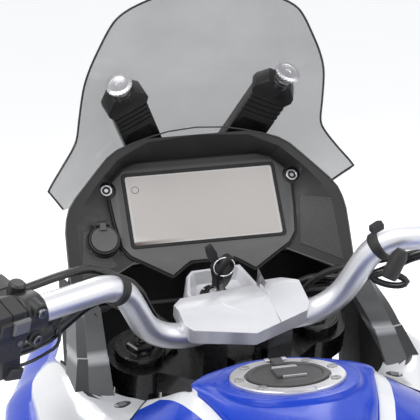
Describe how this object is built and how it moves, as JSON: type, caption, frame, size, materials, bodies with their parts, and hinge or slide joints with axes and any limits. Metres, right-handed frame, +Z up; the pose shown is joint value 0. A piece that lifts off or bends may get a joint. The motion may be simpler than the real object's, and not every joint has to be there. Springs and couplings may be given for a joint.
{
  "type": "motorcycle cockpit",
  "caption": "Front section of an adventure motorcycle: fuel tank, steering with handlebar and levers, dash with display, upper fairing and windscreen.",
  "frame": {"origin": "centre of the open rear end of the backbone tube", "axes": "+Y forward along the backbone, +X to the rider's right, +Z up"},
  "size_m": [0.8722, 0.918, 0.729],
  "materials": {
    "frame_black": "satin",
    "cowl_black": "matt",
    "bezel_grey": "satin",
    "display_grey": "gloss",
    "socket_black": "satin",
    "screen_smoke": "gloss",
    "arm_black": "gloss",
    "knob_silver": "satin",
    "lamp_clear": "gloss",
    "pillar_grey": "satin",
    "body_white": "gloss",
    "body_blue": "gloss",
    "filler_silver": "satin",
    "lid_dark": "satin",
    "yoke_black": "gloss",
    "bar_silver": "satin",
    "cover_silver": "satin",
    "lock_black": "gloss",
    "rubber_black": "matt",
    "control_black": "satin",
    "lever_dark": "satin"
  },
  "bodies": {
    "chassis": {"frame_spine": "frame_black", "fairing_stay": "frame_black", "dash_cowl": "cowl_black", "display_bezel": "bezel_grey", "display_unit": "cowl_black", "display_glass": "display_grey", "socket_body": "socket_black", "windscreen": "screen_smoke", "screen_arm_left": "arm_black", "screen_arm_right": "arm_black", "screen_knob_left": "knob_silver", "screen_knob_right": "knob_silver", "nose_cowl": "cowl_black", "headlamp_left": "lamp_clear", "headlamp_right": "lamp_clear", "pillar_left": "pillar_grey", "pillar_right": "pillar_grey", "side_cowl_left": "body_white", "side_cowl_right": "body_white", "shroud_left": "body_blue", "shroud_right": "body_blue", "fuel_tank": "body_blue", "filler_ring": "filler_silver"},
    "steering": {"top_yoke": "yoke_black", "lower_yoke": "yoke_black", "fork_leg_left": "yoke_black", "fork_leg_right": "yoke_black", "handlebar": "bar_silver", "bar_risers": "yoke_black", "clamp_cover": "cover_silver", "ignition_surround": "cover_silver", "ignition_lock": "lock_black", "ignition_key": "lock_black", "grip_left": "rubber_black", "grip_right": "rubber_black", "switchgear_left": "control_black", "switchgear_right": "control_black", "perch_left": "control_black", "perch_right": "control_black", "lever_left": "lever_dark", "lever_right": "lever_dark", "brake_reservoir": "control_black", "bar_straps": "rubber_black"},
    "filler_lid_body": {"filler_lid": "lid_dark"},
    "socket_cap_body": {"socket_cap": "socket_black"}
  },
  "joints": [
    {"name": "steering_turn", "type": "hinge", "parent": "chassis", "child": "steering", "pos_m": [0, 0.5545, 0.1072], "axis": [0, -0.4617, 0.887], "range_deg": [-46, 34]},
    {"name": "filler_lid_hinge", "type": "hinge", "parent": "chassis", "child": "filler_lid_body", "pos_m": [0, 0.379, 0.155], "axis": [-1, 0, 0], "range_deg": [0, 100]},
    {"name": "socket_cap_hinge", "type": "hinge", "parent": "chassis", "child": "socket_cap_body", "pos_m": [-0.126, 0.6855, 0.2467], "axis": [-1, 0, 0], "range_deg": [0, 110]}
  ]
}
